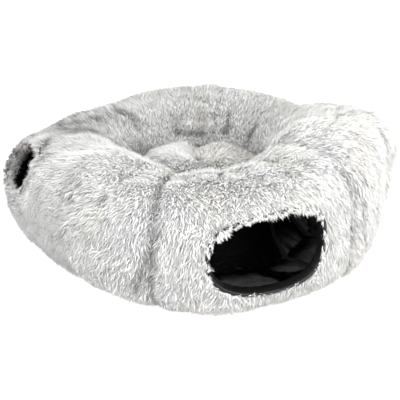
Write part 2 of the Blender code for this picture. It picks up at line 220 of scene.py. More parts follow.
def seamPull(azimuth):
    swing = np.abs(panelSwing(azimuth))
    half = ring["halfEntrancePanel"]
    share = np.where(swing < half, 0.5 - swing / (2 * half), (swing - half) / (quarter - 2 * half))
    return 1 - np.sqrt(np.clip(4 * share * (1 - share), 0, 1))


def ringPoint(azimuth, radius, height):
    return np.stack([radius * np.sin(azimuth), -radius * np.cos(azimuth), height + 0 * azimuth], axis=-1)


def squareness(azimuth):
    share = np.exp(-(turnFrom(azimuth, ring["fullSide"]) / ring["fullSpread"]) ** 2)
    return ring["squareness"] + (ring["fullSquareness"] - ring["squareness"]) * share


def tubeSizes(azimuth):
    width = (ring["tubeWidth"] + waves(ring["widthWaves"], azimuth)) / 2
    waist = ring["waist"] + waves(ring["waistWaves"], azimuth)
    return width, waist, ring["crown"] + waves(ring["crownWaves"], azimuth) - waist


def footAngle(azimuth):
    waist = tubeSizes(azimuth)[1]
    return np.arcsin((waist / (waist + ring["sag"])) ** (squareness(azimuth) / 2))


def mouthFlare(azimuth, height):
    flare = 0
    for centre, roll in mouths.values():
        across = turnFrom(azimuth, centre) * (ring["wellRadius"] + ring["tubeWidth"])
        carried = (ring["crown"] - ring["waist"]) * math.sin(math.radians(roll))
        up = height - (opening["top"] + opening["sill"]) / 2 - carried
        share = np.hypot(across, up) / opening["flareReach"]
        flare = flare + opening["flare"] * np.clip(1 - share ** 4, 0, 1)
    return flare


def seamValue(azimuth, which):
    # value of the nearest seam: 0 for its relief, 1 for the painted shade in its groove
    total, weights = 0, 1e-9
    for place, values in seams.items():
        near = bump(turnFrom(azimuth, place), 0, 0.16)
        total, weights = total + near * values[which], weights + near
    return total / weights


def nearLine(azimuth, angle, startTurn, startAngle, endTurn, endAngle, width):
    # 1 on a line drawn on the ring's surface, falling to 0 over twice its half width, and weaker at its ends
    reach = tubeReach(math.radians((startAngle + endAngle) / 2))
    east = turnFrom(azimuth, startTurn) * reach
    north = (angle - math.radians(startAngle)) * tube["radian"]
    endEast = math.radians((endTurn - startTurn + 180) % 360 - 180) * reach
    endNorth = math.radians(endAngle - startAngle) * tube["radian"]
    along = np.clip((east * endEast + north * endNorth) / (endEast ** 2 + endNorth ** 2), 0, 1)
    away = np.hypot(east - along * endEast, north - along * endNorth)
    return bump(away, 0, width / 1000) * (0.55 + 0.45 * np.sin(math.pi * along))


def creaseField(azimuth, angle):
    # how far each place is sunk into the creases, and how much of a crease it is, 0 to 1
    sunk, share = 0, 0
    for *line, depth, width in creases:
        here = nearLine(azimuth, angle, *line, width)
        sunk = sunk + depth / 1000 * here
        share = np.maximum(share, here)
    return sunk, share


# how much painted shade the dark streaks lay on each place
def shadeStreakShare(azimuth, angle):
    return np.max([dark * nearLine(azimuth, angle, *line, width) for *line, width, dark in shadeStreakLines], axis=0)


def drape(azimuth, angle):
    # how far the loose cover stands out or sinks in, over its main form
    place = ringPoint(azimuth, tubeReach(angle), tube["half"] * np.sin(angle))
    still = drapes["still"]
    calm = np.clip(np.sin((angle + still) / (math.pi + 2 * still) * math.pi), 0, 1)
    swell = 0
    for turn, middle, height, wide in swells:
        east = turnFrom(azimuth, turn) * tubeReach(math.radians(middle))
        north = (angle - math.radians(middle)) * tube["radian"]
        swell = swell + height / 1000 * bump(np.hypot(east, north), 0, wide / 1000)
    drift = drapes["foldDrift"] * np.sin(3 * azimuth)
    folds = drapes["foldHeight"] * np.cos(drapes["folds"] * azimuth + drift)
    folds = folds * np.clip(np.sin(angle - drapes["foldFrom"]), 0, 1) ** 2
    return swell + calm * (waved(place, *drapes["waves"]) + folds)


def tubeSurface(azimuth, angle, inset, draped=True):
    azimuth, angle = np.broadcast_arrays(np.asarray(azimuth, float), np.asarray(angle, float))
    width, waist, crownRise = tubeSizes(azimuth)
    power = squareness(azimuth)
    rise = np.where(np.sin(angle) > 0, crownRise, waist + ring["sag"])
    across, up = superPoint(angle, power)
    lean = np.stack([signedPower(across, power - 1) / width, signedPower(up, power - 1) / rise])
    lean /= np.linalg.norm(lean, axis=0)
    draw = ring["seamDraw"] * seamPull(azimuth)
    depth = inset + draw - np.where(across > 0, mouthFlare(azimuth, waist + up * rise) * across, 0)
    if draped:
        depth = depth - draw * seamValue(azimuth, 0) - drape(azimuth, angle) + creaseField(azimuth, angle)[0]
    out = across * width - lean[0] * depth
    height = np.maximum(waist + up * rise - lean[1] * depth, ring["foot"])
    return ringPoint(azimuth, ring["wellRadius"] + width + out, height)


def footPlace(azimuth, side, inset, level):
    # where a layer meets the floor, on the outer side (1) or the well side (-1)
    width, waist, crownRise = tubeSizes(azimuth)
    drop = waist / (waist + ring["sag"])
    reach = width * (1 - drop ** squareness(azimuth)) ** (1 / squareness(azimuth))
    reach = reach - ring["footTaper"] * inset - ring["footDraw"] * seamPull(azimuth)
    return ringPoint(azimuth, ring["wellRadius"] + width + side * reach, level)


lowAngle = math.radians(-44)  # tube angle where a layer's wall begins, above its foot
loopEnds = (0.05, 0.75, 0.80)  # shares of the way round where the foot, the well's wall and its foot end


def layerLoop(azimuth, share, inset, level):
    # all the way round inside the tube: up the outer wall, over, down the inner wall, back on the floor
    foot, well, heel = loopEnds
    angle = lowAngle + (math.pi - 2 * lowAngle) * np.clip((share - foot) / (well - foot), 0, 1)
    wall = tubeSurface(azimuth, angle, inset, draped=False)
    outer, inner = footPlace(azimuth, 1, inset, level), footPlace(azimuth, -1, inset, level)
    first = np.clip(share / foot, 0, 1)[..., None]
    last = np.clip((share - well) / (heel - well), 0, 1)[..., None]
    floor = np.clip((share - heel) / (1 - heel), 0, 1)[..., None]
    points = outer * (1 - first) + wall * first
    points = np.where(share[..., None] > well, wall * (1 - last) + inner * last, points)
    return np.where(share[..., None] > heel, inner * (1 - floor) + outer * floor, points), angle


def surfaceFrame(surface, first, second, step=0.004):
    # points, normals, the way that second falls, and the area of a unit cell
    points = surface(first, second)
    along = surface(first + step, second) - surface(first - step, second)
    up = surface(first, second + step) - surface(first, second - step)
    normals = np.cross(along, up)
    area = np.linalg.norm(normals, axis=-1, keepdims=True)
    down = -up / np.maximum(np.linalg.norm(up, axis=-1, keepdims=True), 1e-9)
    return points, normals / np.maximum(area, 1e-12), down, area[..., 0] / (4 * step * step)


def openingAngles(mouth):
    # middle and half height of an entrance, as tube angles
    width, waist, crownRise = tubeSizes(np.asarray(math.radians(mouth[0])))
    limits = []
    for level in (opening["top"], opening["sill"]):
        rise = level - waist
        full = np.where(rise > 0, crownRise, waist + ring["sag"])
        limits.append(float(np.arcsin(signedPower(rise / full, squareness(math.radians(mouth[0])) / 2))))
    return (limits[0] + limits[1]) / 2 + math.radians(mouth[1]), (limits[0] - limits[1]) / 2


def openingReach(centre):
    return ring["wellRadius"] + 2 * float(tubeSizes(math.radians(centre))[0]) + opening["flare"]


def openingShare(azimuth, angle, mouth, margin=0.0):
    # 1 on the line that runs that far outside the clear edge of an entrance, less inside it
    middle, half = openingAngles(mouth)
    power = opening["squareness"]
    across = turnFrom(azimuth, mouth[0]) * openingReach(mouth[0]) / (opening["width"] / 2 + margin)
    up = (angle - middle) / (half + margin / opening["run"])
    return (np.abs(across) ** power + np.abs(up) ** power) ** (1 / power)


def openingPoint(mouth, turn, out, inset):
    # a point round an entrance, out from its clear edge along the cloth
    middle, half = openingAngles(mouth)
    centre = mouth[0]
    power = opening["squareness"]
    across, up = superPoint(turn, power)
    azimuth = math.radians(centre) + opening["width"] / 2 / openingReach(centre) * across
    angle = middle + half * up
    away = np.stack([signedPower(across, power - 1) / (opening["width"] / 2),
                     signedPower(up, power - 1) / (half * opening["run"])])
    away = away / np.linalg.norm(away, axis=0)
    return tubeSurface(azimuth + out * away[0] / openingReach(centre),
                       angle + out * away[1] / opening["run"], inset, draped=False)


stageNote("surface formulas ready")


# Making pieces

def ownPiece(piece, body, slot, *nodes):
    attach(piece, body)
    if nodes:
        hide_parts(*nodes)
    return piece


def addObject(name, data):
    item = bpy.data.objects.new(name, data)
    bpy.context.scene.collection.objects.link(item)
    return item


def addChart(mesh, coords):
    # the piece's own chart, on which its material draws: one place for each corner of the faces
    layer = mesh.uv_layers.new(name="OFBake")
    layer.data.foreach_set("uv", coords.astype(np.float32).ravel())


def finishPiece(name, bm, material, thickness=None):
    bmesh.ops.remove_doubles(bm, verts=bm.verts, dist=0.00005)
    bmesh.ops.recalc_face_normals(bm, faces=bm.faces)
    mesh = bpy.data.meshes.new(name)
    bm.to_mesh(mesh)
    bm.free()
    mesh.shade_smooth()
    mesh.materials.append(material)
    piece = addObject(name, mesh)
    if thickness:
        wall = piece.modifiers.new("thickness", "SOLIDIFY")
        wall.thickness = thickness
        wall.offset = 0
    return piece


def clothGrid(across, along, place, gone=None):
    # a grid of cloth, each corner carried from its two shares, 0 to 1, to its place
    bm = bmesh.new()
    bmesh.ops.create_grid(bm, x_segments=across, y_segments=along, size=0.5)
    shares = np.array([vert.co[:2] for vert in bm.verts]) + 0.5
    if gone is not None:
        inside = gone(shares[:, 0], shares[:, 1])
        bm.verts.ensure_lookup_table()
        cut = [face for face in bm.faces if all(inside[vert.index] for vert in face.verts)]
    for vert, point in zip(bm.verts, place(shares[:, 0], shares[:, 1])):
        vert.co = point
    if gone is not None:
        bmesh.ops.delete(bm, geom=cut, context="FACES")
    return bm


def declareCloth(piece, place, *restsOn):
    # a sewn panel, stretched: the size it was cut to is its longest way across and along
    shares = np.linspace(0, 1, 81)
    across = [place(shares, other + 0 * shares) for other in np.linspace(0, 1, 25)]
    along = [place(other + 0 * shares, shares) for other in np.linspace(0, 1, 13)]
    flat = [max(np.linalg.norm(np.diff(line, axis=0), axis=1).sum() for line in lines)
            for lines in (across, along)]


# Plush pile: tapered locks and single hairs, each a closed body, grown on a surface

# Lengths in metres, angles in degrees; a wave is a soft noise's height, size and seed
pile = {
    "length": 0.020, "lengthSpread": 0.24, "widthSpread": (0.6, 1.25), "rootInset": 0.0105,
    "floorGap": 0.0008, "lift": 54, "liftSpread": 14, "liftWaves": (9, 0.05, 13), "liftRange": (22, 105),
    "tipLift": 3, "tipSpread": 12, "scatter": 20, "curl": 0.16,
    "swirl": 15, "swirlWaves": ((1, 0.11, 11), (0.6, 0.035, 12)),
    "locksPerPanel": 5200, "hairsPerPanel": 33500, "rimLocks": 600, "rimHairs": 1300, "locksPerTuft": 6,
    "brightSpread": 0.16, "tuftSpread": 0.08, "warmthSpread": 0.22,
    "streaks": 0.07, "streakDepth": 0.5,  # share of the strands that are dark from root to tip, and how dark
}
strandKinds = {
    "lock": {"width": 0.0026, "flatness": 0.5, "gather": 0.30, "cuts": 1},
    "hair": {"width": 0.0013, "flatness": 0.8, "gather": 0.10, "cuts": 0},
}
belly = (1.75, 1.6, 0.52)  # how much a lock widens at its cut, both ways, and the height of the cut


def strandShape(cuts):
    # one strand along +Z, from 0 to 1, three-sided and pointed; a cut gives it a belly to bend at
    bm = bmesh.new()
    bmesh.ops.create_cone(bm, cap_ends=True, cap_tris=False, segments=3, radius1=0.5, radius2=0, depth=1)
    bmesh.ops.translate(bm, verts=bm.verts, vec=(0, 0, 0.5))
    bmesh.ops.remove_doubles(bm, verts=bm.verts, dist=0.001)
    if cuts:
        rising = [edge for edge in bm.edges if abs(edge.verts[0].co.z - edge.verts[1].co.z) > 0.5]
        bmesh.ops.subdivide_edges(bm, edges=rising, cuts=cuts)
    bmesh.ops.triangulate(bm, faces=bm.faces)
    bmesh.ops.recalc_face_normals(bm, faces=bm.faces)
    for vert in bm.verts:
        if 0.1 < vert.co.z < 0.9:
            vert.co = (vert.co.x * belly[0], vert.co.y * belly[1], belly[2])
    bm.verts.ensure_lookup_table()
    points = np.array([vert.co for vert in bm.verts])
    faces = np.array([[vert.index for vert in face.verts] for face in bm.faces])
    bm.free()
    return points, faces


def unit(vectors):
    return vectors / np.maximum(np.linalg.norm(vectors, axis=-1, keepdims=True), 1e-9)


def alongSurface(vectors, normals):
    return unit(vectors - normals * np.sum(vectors * normals, axis=1, keepdims=True))


def turnAbout(vectors, axes, angles):
    cosine, sine = np.cos(angles)[:, None], np.sin(angles)[:, None]
    return vectors * cosine + np.cross(axes, vectors) * sine


def nearestLeader(roots):
    # neighbouring strands cling together at their tips, each to the nearest of a few leaders
    leaders = max(len(roots) // pile["locksPerTuft"], 1)
    tree = kdtree.KDTree(leaders)
    for index in range(leaders):
        tree.insert(roots[index], index)
    tree.balance()
    return np.array([tree.find(root)[1] for root in roots])


def growStrands(kind, roots, seed):
    # bent copies of one strand, too many to make one by one with operators
    values = strandKinds[kind]
    rng = np.random.default_rng(seed)
    place, normals = roots["place"], roots["normal"]
    count = len(place)
    swirl = math.radians(pile["swirl"]) * waved(place, *pile["swirlWaves"])
    combs = turnAbout(roots["comb"], normals, swirl + math.radians(pile["scatter"]) * rng.normal(size=count))
    side = np.cross(combs, normals)
    long = pile["length"] * roots["long"] * (1 + pile["lengthSpread"] * rng.uniform(-1, 1, count))
    wide = values["width"] * rng.uniform(*pile["widthSpread"], count)
    rise = pile["lift"] + roots["lift"] + pile["liftSpread"] * rng.normal(size=count)
    rise = np.radians(np.clip(rise + waved(place, pile["liftWaves"]), *pile["liftRange"]))
    bend = rise - np.radians(pile["tipLift"] + pile["tipSpread"] * rng.uniform(-1, 1, count))
    points, faces = strandShape(values["cuts"])
    along = points[:, 2]
    slope = rise[:, None] - bend[:, None] * along
    reach = (np.sin(rise)[:, None] - np.sin(slope)) / bend[:, None]
    stand = (np.cos(slope) - np.cos(rise)[:, None]) / bend[:, None]
    curl = pile["curl"] * rng.normal(size=count)
    middles = place[:, None] + long[:, None, None] * (
        combs[:, None] * reach[..., None] + normals[:, None] * stand[..., None]
        + side[:, None] * (curl[:, None] * along ** 2)[..., None])
    nearest = nearestLeader(place)
    tips = middles[:, int(along.argmax())]
    middles += (values["gather"] * (tips[nearest] - tips))[:, None] * (along ** 1.4)[:, None]
    thick = normals[:, None] * np.cos(slope)[..., None] - combs[:, None] * np.sin(slope)[..., None]
    verts = middles + wide[:, None, None] * (side[:, None] * points[:, 0][:, None]
                                             + thick * values["flatness"] * points[:, 1][:, None])
    verts[..., 2] = np.maximum(verts[..., 2], pile["floorGap"])
    bright = roots["bright"] + pile["brightSpread"] * rng.uniform(-1, 1, count)
    bright = bright + pile["tuftSpread"] * rng.uniform(-1, 1, count)[nearest]
    bright = np.where(rng.uniform(size=count) < pile["streaks"], bright - pile["streakDepth"], bright)
    shade = shadeOf(bright, roots["warmth"] + pile["warmthSpread"] * rng.uniform(-1, 1, count))
    allFaces = (faces[None] + len(points) * np.arange(count)[:, None, None]).reshape(-1, 3)
    # across the chart a strand is one shade, but keeps a little width, so that its faces can be baked
    u = np.clip(shade, 0.02, 0.98)[:, None] + 0.008 * points[:, 0]
    v = 0.03 + 0.94 * along + 0.02 * points[:, 1] + 0 * u
    return verts.reshape(-1, 3), allFaces, np.stack([u, v], axis=-1).reshape(-1, 2)


def growPile(name, roots, locks, material, seed):
    # the first of the roots grow locks, the rest single hairs
    first = {key: value[:locks] for key, value in roots.items()}
    rest = {key: value[locks:] for key, value in roots.items()}
    lockVerts, lockFaces, lockCoords = growStrands("lock", first, seed)
    hairVerts, hairFaces, hairCoords = growStrands("hair", rest, seed + 500)
    faces = np.concatenate([lockFaces, hairFaces + len(lockVerts)])
    coords = np.concatenate([lockCoords, hairCoords])
    mesh = bpy.data.meshes.new(name)
    mesh.from_pydata(np.concatenate([lockVerts, hairVerts]), [], faces)
    mesh.shade_smooth()
    addChart(mesh, coords[faces.ravel()])
    mesh.materials.append(material)
    return addObject(name, mesh)


def spread(count, seed):
    # evenly scattered pairs of shares, from 0 to 1
    index = np.arange(count) + seed * 7919
    return (index * 0.7548776662) % 1, (index * 0.5698402910) % 1


def shadeOf(brightness, warmth):
    # place of a strand on the pile's colour chart: three tints side by side, each from dark to light
    band = np.clip(np.floor(warmth * 3), 0, 2)
    return (band + 0.04 + 0.92 * np.clip(brightness, 0, 1)) / 3


def plushMaterial():
    # Long-pile faux fur of fine acrylic hair: tips bleached almost white over grey roots, soft, not glossy
    material, tree, shader = newMaterial("fauxFurPlush", Roughness=0.72, Sheen_Weight=0.15,
                                         Sheen_Roughness=0.5, Specular_IOR_Level=0.25)
    chart = addNode(tree, "UVMap", uv_map="OFBake").outputs["UV"]
    split = addNode(tree, "SeparateXYZ", [("Vector", chart)])
    bands = addNode(tree, "Math", [(0, split.outputs["X"]), (1, 3.0)], operation="MULTIPLY")
    bright = addNode(tree, "Math", [(0, bands)], operation="FRACT")
    hair = addNode(tree, "ValToRGB", [("Fac", split.outputs["Y"])])
    setStops(hair.color_ramp, ((0.0, "#ADAEB1"), (0.25, "#CDCECF"), (0.50, "#E9E9E9"), (0.75, "#F4F4F3"),
                               (1.0, "#F6F6F5")))
    tint = addNode(tree, "ValToRGB", [("Fac", split.outputs["X"])])
    tint.color_ramp.interpolation = "CONSTANT"
    setStops(tint.color_ramp, ((0, "#F5F6F7"), (1 / 3, "#FAFAF8"), (2 / 3, "#F9F5EE")))
    tinted = addNode(tree, "Mix", [("Factor", 1.0)], data_type="RGBA", blend_type="MULTIPLY")
    wire(tinted, ("A", hair), ("B", tint))
    # the strands' own brightness is eased, so that few of them are very dark
    eased = addNode(tree, "Math", [(0, bright), (1, 0.55)], operation="POWER")
    dim = addNode(tree, "MapRange", [("Value", eased), ("To Min", 0.08), ("To Max", 1.0)])
    final = addNode(tree, "VectorMath", operation="SCALE")
    wire(final, ("Vector", tinted.outputs["Result"]), ("Scale", dim))
    wire(shader, ("Base Color", final))
    return material


furPlush = plushMaterial()
lockShare = 1.0
# How bright the plain hair is, its waves, and how much painted shade darkens each kind of place
tones = {"plain": 0.78, "waves": ((0.08, 0.05, 21), (0.07, 0.018, 22))}
# painted shade in the seams' grooves, in creases and streaks, on the well's wall, past the left entrance,
# under its roll, and in mottled patches
paintedShadeByPlace = {
    "seam": 0.60, "crease": 0.50, "streakShade": 0.75, "well": 0.16, "far": 0.44, "lip": 0.22, "mottled": 0.42,
}


def plushPlaces(azimuth, angle, points):
    # how much of each kind of place there is at each point, 0 to 1, for the painted shade on the hair
    well = np.clip((angle - 1.9) / 0.8, 0, 1)
    far = bump(turnFrom(azimuth, 243), 0, 0.45) * np.clip((2.35 - angle) / 0.5, 0, 1)
    mottled = np.clip(softNoise(points, 0.035, 26), 0, 1)
    return {
        "seam": bump(seamDistance(azimuth) * 0.3, 0, 0.009) * seamValue(azimuth, 1),
        "crease": creaseField(azimuth, angle)[1], "streakShade": shadeStreakShare(azimuth, angle),
        "well": well, "far": far,  # past the left entrance, where the hair faces away from the lamps: painted shade
        "lip": bump(turnFrom(azimuth, 282), 0, 0.09) * bump(angle, 1.0, 0.5),  # the roll on its near side, in painted shade
        # mottled patches of painted shade in the back of the well and on the far side
        "mottled": mottled * (well * bump(turnFrom(azimuth, 154), 0, 0.55) + 1.9 * far),
    }


def leanOverEdge(name, azimuth, angle, points, normals, combs, long):
    # round an entrance the hair leans over the edge, except at the left of the front one, where it lies flat
    middle = openingAngles(mouths[name])[0]
    heart = tubeSurface(math.radians(mouths[name][0]), middle, 0.03)
    inward = alongSurface(heart - points, normals)
    rim = bump(openingShare(azimuth, angle, mouths[name], opening["cut"]), 1, 0.13) * (angle < 1.6)
    flat = np.clip(-turnFrom(azimuth, 0) / 0.28, 0, 1) if name == "front" else 0
    lean = (rim * np.where(angle > middle - 0.25, 0.62, 0.25) * (1 - 1.4 * flat))[:, None]
    long = long + rim * (np.where(angle > middle, 0.05, -0.30) - 0.30 * flat)
    return unit(combs * (1 - lean) + inward * lean), long


def coverTurns(centre, half, first, second):
    # azimuth and tube angle of a place on a panel, given by its shares across and up, 0 to 1
    azimuth = math.radians(centre) + half * (2 * first - 1)
    low = footAngle(azimuth)
    return azimuth, -low + (math.pi + 2 * low) * second


def panelRoots(name, centre, half, wanted, seed):
    rng = np.random.default_rng(seed)
    first, second = spread(wanted * 4, seed)
    azimuth, angle = coverTurns(centre, half, first, second)
    points, normals, down, area = surfaceFrame(
        lambda a, b: tubeSurface(a, b, pile["rootInset"]), azimuth, angle)
    keep = (rng.uniform(size=len(area)) < area / np.quantile(area, 0.98)) & (points[:, 2] > 0.005)
    if name in mouths:
        keep &= (openingShare(azimuth, angle, mouths[name], opening["cut"]) > 1) | (angle > 1.6)
    chosen = np.nonzero(keep)[0][:wanted]
    azimuth, angle, points, normals, down = (item[chosen] for item in (azimuth, angle, points, normals, down))
    places = plushPlaces(azimuth, angle, points)
    bright = tones["plain"] + waved(points, *tones["waves"])
    # painted shade: the hair is darker in each of these places
    bright = bright - sum(paintedShadeByPlace[kind] * share for kind, share in places.items())
    warmth = 0.47 + 0.08 * softNoise(points, 0.12, 23)
    warmth += 0.30 * np.clip(1 - points[:, 2] / 0.06, 0, 1) + 0.08 * points[:, 0] / 0.39
    sweep = -0.45 * bump(turnFrom(azimuth, 305), 0, 0.5) * np.clip(1.4 - angle, 0, 1)  # brushed down and left
    combs = turnAbout(down, normals, sweep)
    long = 1 - 0.45 * places["seam"] - 0.25 * places["crease"] + 0.25 * places["far"]
    long = long * (1 - 0.30 * places["well"])
    if name in mouths:
        combs, long = leanOverEdge(name, azimuth, angle, points, normals, combs, long)
    return {"place": points, "normal": normals, "comb": combs, "bright": bright, "warmth": warmth,
            "long": long, "lift": 6 * places["well"]}


# Hair at the rim of an entrance: metres out from its clear edge, metres under the surface, and its brightness
rimHair = {"spread": 0.0105, "farOut": 0.0035, "footOut": 0.0045, "depth": 0.0075, "tone": 0.54}


def rimRoots(name, wanted, seed):
    # places round the edge of an entrance, where the pile folds over and hides the binding
    mouth = mouths[name]
    first, second = spread(wanted, seed)
    turn = 2 * math.pi * first
    far = np.zeros(wanted)
    tone = rimHair["tone"] + 0.12 * first
    if name == "left":
        # most of them on the side that has rolled up, where long hair hangs over the entrance
        turn = math.radians(218) + math.radians(180) * np.sign(first - 0.5) * np.abs(2 * first - 1) ** 1.5
        far = bump(turn, math.radians(214), math.radians(86))
        tone = tone - 0.30 * np.clip(np.cos(turn), 0, 1)  # the near side is in shade
    rise = np.sin(turn)
    out = np.where(far > 0.3, rimHair["farOut"], rimHair["spread"] * ((np.arange(wanted) * 0.6180339887) % 1))
    out = np.where((far < 0.3) & (rise < -0.3), rimHair["footOut"] + 0.5 * out, out)  # binding shows there
    depth = rimHair["depth"]
    place = openingPoint(mouth, turn, out, depth)
    above, below = (openingPoint(mouth, turn, out, level) for level in (depth - 0.004, depth + 0.004))
    normals = unit(above - below)
    inward = alongSurface(openingPoint(mouth, turn, out - 0.004, depth) - place, normals)
    fold = np.radians(-8 + (30 + 110 * far) * second)[:, None]
    facing = normals * np.cos(fold) + inward * np.sin(fold)
    over = inward * np.cos(fold) - normals * np.sin(fold)
    share = np.where(rise > 0.3, 0.6, 0.35)
    sag = np.where((rise < -0.5) & (far < 0.3), 0.15, 0.7) + 0.2 * far  # below an entrance the hair stands up
    if name == "front":
        share = share * (1 - 1.3 * np.clip(-np.cos(turn), 0, 1))
    combs = over * np.maximum(share, far)[:, None] + np.array([0, 0, -1]) * sag[:, None]
    combs = alongSurface(combs, facing)
    long = (0.32 + 0.22 * np.clip(rise + 0.4, 0, 1)) * (1 + 0.5 * softNoise(place, 0.03, 25)) + far
    # painted shade on the far side, where the long hair hangs over the entrance, with mottled patches
    return {"place": place + 0.001 * facing, "normal": facing, "comb": combs, "long": long,
            "bright": tone - 0.28 * far - 0.50 * far * np.clip(softNoise(place, 0.014, 27), 0, 1),
            "warmth": 0.5 + 0 * far, "lift": 10 + 0 * far}


def panelPile(name, centre, half, seed):
    share = lockShare * (1 if name in entrancePanels else 0.5)
    locks = int(pile["locksPerPanel"] * share * (0.7 if name == "left" else 1))
    hairs = int(pile["hairsPerPanel"] * share)
    roots = panelRoots(name, centre, half, locks + hairs, seed)
    if name in mouths:
        more = 2 if name == "left" else 1
        rimLocks, rimHairs = int(pile["rimLocks"] * share * more), int(pile["rimHairs"] * share * more)
        rim = rimRoots(name, rimLocks + rimHairs, seed + 50)
        roots = {key: np.concatenate([rim[key][:rimLocks], roots[key], rim[key][rimLocks:]]) for key in roots}
        locks += rimLocks
    piece = growPile("pile_" + name, roots, locks, furPlush, seed)
    return ownPiece(piece, "tunnel", "plush", "cover_panel_" + name)


def halfPanel(name):
    return ring["halfEntrancePanel"] if name in entrancePanels else quarter / 2 - ring["halfEntrancePanel"]


allPanels = {**entrancePanels, **plainPanels}
for number, (name, centre) in enumerate(allPanels.items()):
    panelPile(name, centre, halfPanel(name), 101 + number)
stageNote("pile grown on the ring")


# Knitted backing of the plush

backing = {"inset": 0.0105, "thickness": 0.0012, "rows": 64, "columns": 36}
# Knitted polyester backing: matt grey loops, seen only where the pile parts
knit = grainedMaterial("knittedBacking", "TexNoise", [("Scale", 180.0), ("Detail", 4.0)],
                       ((0.2, "#9C9D9F"), (0.8, "#C8C8C8")), [("Distance", 0.001)], Roughness=0.95)[0]


def toRim(azimuth, angle, name):
    # carries what lies in an entrance out to the line where the cloth is cut
    share = openingShare(azimuth, angle, mouths[name], opening["cut"])
    inside = (share < 1) & (angle < 1.5)
    middle = openingAngles(mouths[name])[0]
    push = np.where(inside, 1 / np.maximum(share, 0.05), 1)
    swing = turnFrom(azimuth, mouths[name][0])
    return azimuth + swing * (push - 1), middle + (angle - middle) * push, inside


def panelGrid(name, values, turnsOf, place):
    # the grid of a panel, with its entrance cut out; a plain panel is half as wide
    if name not in mouths:
        return clothGrid(values["columns"] // 2, values["rows"], place)
    return clothGrid(values["columns"], values["rows"], place, lambda a, b: toRim(*turnsOf(a, b), name)[2])


def panelBacking(name, centre):
    half = halfPanel(name) * 0.9985

    def turnsOf(first, second):
        return coverTurns(centre, half, first, second)

    def place(first, second):
        azimuth, angle = turnsOf(first, second)
        if name in mouths:
            azimuth, angle, inside = toRim(azimuth, angle, name)
        return tubeSurface(azimuth, angle, backing["inset"])

    bm = panelGrid(name, backing, turnsOf, place)
    piece = finishPiece("backing_" + name, bm, knit, backing["thickness"])
    declareCloth(piece, place, "wadding_panel_" + name)
    return ownPiece(piece, "tunnel", "plush", "cover_panel_" + name)


for name, centre in allPanels.items():
    panelBacking(name, centre)
stageNote("backing sewn")


# Wadding and lining, closed all the way round inside the tube

# Insets are metres under the pile's surface, levels are metres over the floor, both to the layer's middle
wadding = {"inset": 0.0164, "level": 0.0063, "thickness": 0.0068, "rows": 72, "columns": 24}
lining = {"inset": 0.0214, "level": 0.0112, "thickness": 0.0004, "rows": 128, "columns": 60}
lumps = (0.0009, 0.03, 31)  # the wadding's wave: height, size and seed
ridges = 0.0042  # height of the lining's crinkles
# Bonded polyester wadding: white, lofty and matt, with a light skin of fused fibres
batt = grainedMaterial("bondedWadding", "TexNoise", [("Scale", 130.0), ("Detail", 8.0), ("Distortion", 1.5)],
                       ((0.3, "#D2D2CE"), (0.7, "#F1F1EE")), [("Distance", 0.003)],
                       Roughness=1.0, Sheen_Weight=0.2)[0]


def taffetaMaterial():
    # Plain-woven polyester taffeta: black and dull on the walls, shiny from rubbing where it lies crushed on
    # the floor, with grey patches there that are painted reflection.
    # The threads are 0.1 mm apart, drawn at 0.9 mm so that they show close up
    material, tree, shader = newMaterial("blackTaffeta", Specular_IOR_Level=0.10)
    place = addNode(tree, "TexCoord").outputs["Object"]
    height = addNode(tree, "SeparateXYZ", [("Vector", place)]).outputs["Z"]
    rough = addNode(tree, "MapRange", [("Value", height), ("From Min", 0.014), ("From Max", 0.045),
                                       ("To Min", 0.30), ("To Max", 0.85)])
    tone = addNode(tree, "TexNoise", [("Vector", place), ("Scale", 22.0), ("Detail", 3.0)])
    ramp = addNode(tree, "ValToRGB", [("Fac", tone)])
    setStops(ramp.color_ramp, ((0.25, "#020203"), (0.75, "#050506")))
    # painted reflection: grey patches, low and on the outer side of the floor, where it would mirror the
    # light that comes in at the entrances
    low = addNode(tree, "MapRange", [("Value", height), ("From Min", 0.030), ("From Max", 0.016)])
    reflectionPatches = addNode(tree, "TexNoise", [("Vector", place), ("Scale", 13.0), ("Detail", 1.0)])
    patch = addNode(tree, "MapRange", [("Value", reflectionPatches), ("From Min", 0.44), ("From Max", 0.50)])
    flat = addNode(tree, "VectorMath", [(0, place), (1, (1, 1, 0))], operation="MULTIPLY")
    reach = addNode(tree, "VectorMath", [(0, flat)], operation="LENGTH")
    outer = addNode(tree, "MapRange", [("Value", reach.outputs["Value"]), ("From Min", 0.235),
                                       ("From Max", 0.262)])
    both = addNode(tree, "Math", [(0, low), (1, patch)], operation="MULTIPLY")
    share = addNode(tree, "Math", [(0, both), (1, outer)], operation="MULTIPLY")
    paintedReflection = addNode(tree, "Mix", [("Factor", share)], data_type="RGBA")
    wire(paintedReflection, ("A", ramp), ("B", hexToLinear("#5A5A5C")))
    crush = addNode(tree, "TexNoise", [("Vector", place), ("Scale", 55.0), ("Detail", 3.0),
                                       ("Distortion", 0.8)])
    weave = addNode(tree, "TexVoronoi", [("Vector", place), ("Scale", 1100.0)])
    first = addNode(tree, "Bump", [("Height", crush), ("Distance", 0.006), ("Strength", 0.7)])
    second = addNode(tree, "Bump", [("Height", weave.outputs["Distance"]), ("Distance", 0.0002),
                                    ("Strength", 0.4), ("Normal", first)])
    wire(shader, ("Base Color", paintedReflection.outputs["Result"]), ("Roughness", rough), ("Normal", second))
    return material


taffeta = taffetaMaterial()


def crinkle(points, seed):
    # sharp little ridges that run into each other, 0 to 1
    fine = 1 - np.clip(np.abs(softNoise(points, 0.06, seed)), 0, 1)
    broad = 1 - np.clip(np.abs(softNoise(points, 0.14, seed + 1)), 0, 1)
    return 0.45 * fine ** 2 + 0.55 * broad ** 3


